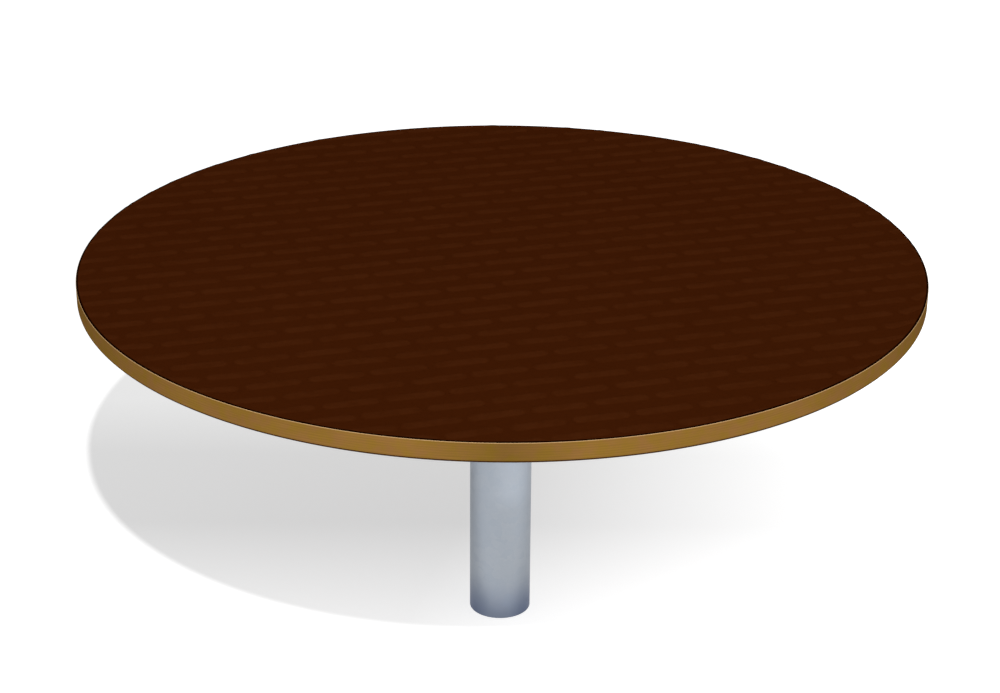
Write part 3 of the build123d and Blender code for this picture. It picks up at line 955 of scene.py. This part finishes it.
def washer(outer, inner, low, thick):
    """A flat washer lying at a height."""
    made = ring("washer", outer, inner, low, low + thick, 64)
    soften(made, washer_edge, 1)
    return made


bolt_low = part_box("board_bolts")[0].z
bolt_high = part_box("board_bolts")[1].z
washer_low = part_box("board_washers")[0].z
pattern = together("pattern_bolt", [
    hexagon(board_across, washer_low - bolt_low, bolt_low),
    shank(board_shank, washer_low - into_head, bolt_high, board_thread_from, board_pitch),
])

# The bolt stands head down, so its head is turned over and the crown comes to the lower side.
turned_over = Matrix.Scale(-1, 4, (0, 0, 1))
flip = Matrix.Translation((0, 0, washer_low)) @ turned_over @ Matrix.Translation((0, 0, -bolt_low))
for v in pattern.data.vertices:
    beside_shank = v.co.xy.length > board_shank + beyond
    below_shank = v.co.z < washer_low - into_head - beyond
    if v.co.z <= washer_low + hair and (beside_shank or below_shank):
        v.co = flip @ v.co
shape(pattern)
bpy.ops.mesh.select_all(action="SELECT")
bpy.ops.mesh.normals_make_consistent(inside=False)
deselect()
flat_washer = washer(board_washer_radius, bolt_hole, washer_low, arm_low - washer_low)
bolts, washers = [], []
for number, (turn, reach) in enumerate(fixings):
    spot = Matrix.Translation(fixing_place(turn, reach)) @ Matrix.Rotation(bolt_turn * number, 4, "Z")
    for part, group in ((pattern, bolts), (flat_washer, washers)):
        made = bpy.data.objects.new(part.name, part.data.copy())
        bpy.context.scene.collection.objects.link(made)
        made.data.transform(spot)
        group.append(made)
bpy.data.objects.remove(pattern)
bpy.data.objects.remove(flat_washer)
for name, group, node in (
    ("board_hexagon_bolts", bolts, "board_bolts"),
    ("board_flat_washers", washers, "board_washers"),
):
    piece = together(name, group)
    dress(piece, zinc_plate)
    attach(piece, "platform")
    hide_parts(node)

# The core bolts: one M16 bolt through each unit's lugs and core, zinc plated, with a washer at each end and
# a lock nut whose nylon ring grips the thread.
core_head, core_washer, head_across, core_shank = 0.010, 0.003, 0.024, 0.008
core_washer_radius, core_end, core_thread_from, thread_pitch = 0.015, 0.090, 0.066, 0.002
nut_thick, nut_collar, nut_bore, collar_radius = 0.012, 0.004, 0.0086, 0.011
nut_edge, collar_root, shank_root = 0.0005, 0.002, 0.002
nylon_outer, nylon_inner, nylon_low, nylon_top = 0.0085, 0.0076, 0.001, 0.0006
head_in_front = Matrix(((1, 0, 0), (0, 0, 1), (0, -1, 0))).to_4x4()

# Black nylon: a satin moulded ring, scuffed a little by the thread in clouds of 2 mm, 500 to the metre.
scuff_count = 500.0
nylon, tree, shader, place = new_finish("black_nylon_ring", "1c1c1e", 0.5)
cloud = add(tree, "TexNoise", {"Vector": place, "Scale": scuff_count, "Detail": 3.0})
worn = add(tree, "Mix", {0: cloud, 6: "161618", 7: "27272a"})
feed(shader, {"Base Color": worn})
grip = lug_far + core_washer
nut_top = grip + nut_thick
for level, body, axle, lay in (
    ("lower", "post", lower_axis, along_x),
    ("upper", "platform", upper_axis, head_in_front),
):
    bolt_head = hexagon(head_across, core_head, 0)
    bolt_head.data.transform(Matrix.Translation((0, 0, -grip)) @ Matrix.Rotation(math.pi, 4, "X"))
    thread = shank(core_shank, -grip - shank_root, core_end, core_thread_from, thread_pitch)
    bolt = together(level + "_core_hexagon_bolt", [bolt_head, thread])
    two = [washer(core_washer_radius, core_bore, low, core_washer) for low in (-grip, lug_far)]
    pair = together(level + "_core_flat_washers", two)
    nut_blank = hexagon(head_across, nut_thick, grip)
    bore(nut_blank, (0, 0, grip + nut_thick / 2), "Z", nut_bore, 2 * nut_thick)
    collar = ring("collar", collar_radius, nut_bore, nut_top - collar_root, nut_top + nut_collar, 64)
    nut = together(level + "_core_lock_nut", [nut_blank, collar])
    soften(nut, nut_edge, 2, 60)
    lock = ring(level + "_nut_nylon_ring", nylon_outer, nylon_inner, nut_top + nylon_low,
                nut_top + nut_collar - nylon_top, 48)
    for piece, material, slot in (
        (bolt, zinc_plate, "zinc_plated_steel"),
        (pair, zinc_plate, "zinc_plated_steel"),
        (nut, zinc_plate, "zinc_plated_steel"),
        (lock, nylon, "black_plastic"),
    ):
        piece.data.transform(Matrix.Translation((0, 0, axle)) @ lay)
        dress(piece, material)
        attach(piece, body)
    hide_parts(level + "_core_bolt")
    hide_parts(level + "_core_washers")
    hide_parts(level + "_core_nut")

# The weld seams: fillet beads laid by hand before galvanising, rippled every 2.5 mm where each drop of metal
# set. They go round the post's head, along both sides of each lug, between the crossed housings, and where
# the arms meet the hub and each other.
ripple_pitch, bead_step, bead_waist, bead_swell = 0.0025, 0.0006, 0.94, 0.07
bead_merge = 0.00001
head_bead, lug_bead, housing_bead, hub_bead, arm_bead = 0.0035, 0.0030, 0.0045, 0.0032, 0.0026
head_points = 400
lug_run, housing_run, hub_run = 0.027, 0.029, 0.034
in_corner, short_of_end = 0.001, 0.004


def seam(points, radius, closed=False):
    """A weld bead along straight runs between points, or round a closed line of them."""
    places = []
    ends = points + points[:1] if closed else points
    for a, b in zip(ends, ends[1:]):
        a, b = Vector(a), Vector(b)
        steps = max(1, round((b - a).length / bead_step))
        places += [a.lerp(b, i / steps) for i in range(steps)]
    if not closed:
        places.append(Vector(points[-1]))
    curve = bpy.data.curves.new("bead", "CURVE")
    curve.dimensions = "3D"
    curve.bevel_depth = radius
    curve.bevel_resolution = 2
    curve.use_fill_caps = True
    line = curve.splines.new("POLY")
    line.points.add(len(places) - 1)
    line.use_cyclic_u = closed
    for i, spot in enumerate(places):
        drop = (i * bead_step / ripple_pitch) % 1.0
        line.points[i].co = (*spot, 1)
        line.points[i].radius = bead_waist + bead_swell * math.sin(math.pi * drop)
    made = bpy.data.objects.new("bead", curve)
    bpy.context.scene.collection.objects.link(made)
    choose(made)
    bpy.ops.object.convert(target="MESH")
    made = bpy.context.object
    merge(made, bead_merge)
    deselect()
    return made


def finish_seams(name, beads, body):
    """Joins a group of beads into one galvanised piece on a body."""
    piece = together(name, beads)
    dress(piece, galvanised, 60)
    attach(piece, body)


around = []
for i in range(head_points):
    angle = 2 * math.pi * i / head_points
    around.append((post_radius * math.cos(angle), post_radius * math.sin(angle), post_high))
finish_seams("post_head_seam", [seam(around, head_bead, True)], "post")
for name, body, axis, foot in (
    ("lower_lug_seams", "post", "X", head_high),
    ("upper_lug_seams", "platform", "Y", hub_low),
):
    beads = []
    for side in (-1, 1):
        for across in (lug_near, lug_far):
            ends = [(side * across, -lug_run, foot), (side * across, lug_run, foot)]
            if axis == "Y":
                ends = [(y, x, z) for x, y, z in ends]
            beads.append(seam(ends, lug_bead))
    finish_seams(name, beads, body)
beads = []
meet = (lower_axis + upper_axis) / 2
for side in (-1, 1):
    flank = side * (housing_half - in_corner)
    beads.append(seam([(flank, -housing_run, meet), (flank, housing_run, meet)], housing_bead))
    beads.append(seam([(-housing_run, flank, meet), (housing_run, flank, meet)], housing_bead))
finish_seams("housing_seams", beads, "cross_unit")
beads = []
chord = math.sqrt(hub_radius ** 2 - (arm_width / 2) ** 2) - short_of_end
for side in (-1, 1):
    for end in (-1, 1):
        flank = end * (arm_width / 2 - in_corner)
        beads.append(seam([(side * hub_run, flank, arm_low), (side * chord, flank, arm_low)], hub_bead))
        beads.append(seam([(flank, side * hub_run, arm_low), (flank, side * chord, arm_low)], hub_bead))
        x, y = end * arm_width / 2, side * arm_width / 2
        beads.append(seam([(x, y, arm_low + short_of_end), (x, y, arm_high - short_of_end)], arm_bead))
finish_seams("arm_seams", beads, "platform")

# The size as measured: the outermost corners of the solids and of the dressed part.
low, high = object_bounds()
